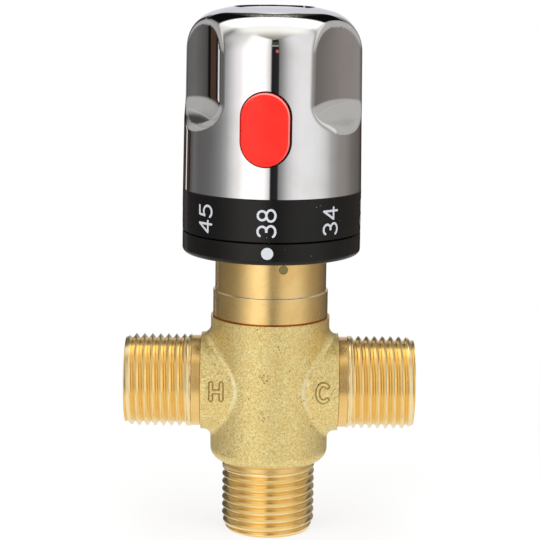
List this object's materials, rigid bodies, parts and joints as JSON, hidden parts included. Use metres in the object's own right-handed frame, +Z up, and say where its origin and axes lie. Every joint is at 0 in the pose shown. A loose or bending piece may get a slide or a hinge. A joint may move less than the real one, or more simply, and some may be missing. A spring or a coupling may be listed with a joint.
{
  "type": "thermostatic mixing valve",
  "caption": "Brass mixing valve with hot and cold threaded inlets, a mixed outlet below and a chromed temperature knob with a red release button.",
  "frame": {"origin": "centre of the outlet's end face", "axes": "+Z up the knob's axis from the outlet to the knob, -Y to the front with the button, -X out of the hot inlet, +X out of the cold inlet"},
  "size_m": [0.065, 0.04, 0.1182],
  "materials": {
    "cast_brass": "fine sand-cast brass with machined threads and neck",
    "turned_brass": "turned brass",
    "chromed_plastic": "bright chrome plate on moulded plastic",
    "red_plastic": "smooth red plastic",
    "black_plastic": "satin black plastic with white marks",
    "natural_plastic": "natural white moulded plastic",
    "black_rubber": "black rubber",
    "stainless_steel": "stainless steel"
  },
  "bodies": {
    "valve": {"valve_body": "cast_brass", "bonnet": "turned_brass", "bonnet_o_ring": "black_rubber", "locating_pin": "turned_brass", "cage": "turned_brass", "cage_o_rings": "black_rubber", "cold_seat": "turned_brass", "stop_ring": "black_plastic", "thrust_washer": "natural_plastic", "hot_strainer": "stainless_steel", "cold_strainer": "stainless_steel", "hot_check_housing": "natural_plastic", "cold_check_housing": "natural_plastic", "hot_check_o_ring": "black_rubber", "cold_check_o_ring": "black_rubber", "hot_check_spring": "stainless_steel", "cold_check_spring": "stainless_steel", "return_spring": "stainless_steel"},
    "knob": {"knob_shell": "chromed_plastic", "scale_ring": "black_plastic", "top_cap": "chromed_plastic", "knob_screw": "stainless_steel", "spindle": "turned_brass", "spindle_o_rings": "black_rubber", "spindle_clip": "stainless_steel", "button_spring": "stainless_steel"},
    "button": {"release_button": "red_plastic", "catch_slide": "natural_plastic"},
    "nut": {"regulating_nut": "turned_brass", "nut_clip": "stainless_steel", "pusher": "turned_brass", "overload_spring": "stainless_steel", "wax_rod": "stainless_steel"},
    "shuttle": {"shuttle": "turned_brass", "shuttle_o_ring": "black_rubber", "wax_element": "turned_brass", "element_clip": "stainless_steel"},
    "hot_poppet": {"hot_check_poppet": "natural_plastic"},
    "cold_poppet": {"cold_check_poppet": "natural_plastic"}
  },
  "joints": [
    {"name": "knob_turn", "type": "hinge", "parent": "valve", "child": "knob", "pos_m": [0, 0, 0.07], "axis": [0, 0, 1], "range_deg": [-180, 90]},
    {"name": "nut_travel", "type": "slide", "parent": "valve", "child": "nut", "axis": [0, 0, 1], "range_m": [-0.001, 0.0005]},
    {"name": "wax_stroke", "type": "slide", "parent": "nut", "child": "shuttle", "axis": [0, 0, 1], "range_m": [-0.0006, 0.0006], "stiffness_N_per_m": 4000, "deforming": ["return_spring"]},
    {"name": "button_press", "type": "slide", "parent": "knob", "child": "button", "axis": [0.0785, 0.9969, 0], "range_m": [0, 0.0022], "stiffness_N_per_m": 600, "springref_m": -0.001, "deforming": ["button_spring"]},
    {"name": "hot_check", "type": "slide", "parent": "valve", "child": "hot_poppet", "axis": [1, 0, 0], "range_m": [0, 0.003], "stiffness_N_per_m": 150, "springref_m": -0.002, "deforming": ["hot_check_spring"]},
    {"name": "cold_check", "type": "slide", "parent": "valve", "child": "cold_poppet", "axis": [-1, 0, 0], "range_m": [0, 0.003], "stiffness_N_per_m": 150, "springref_m": -0.002, "deforming": ["cold_check_spring"]}
  ],
  "couplings": [
    {"joint": "knob_turn", "follows": "nut_travel", "rad_per_m": 3141.6}
  ]
}
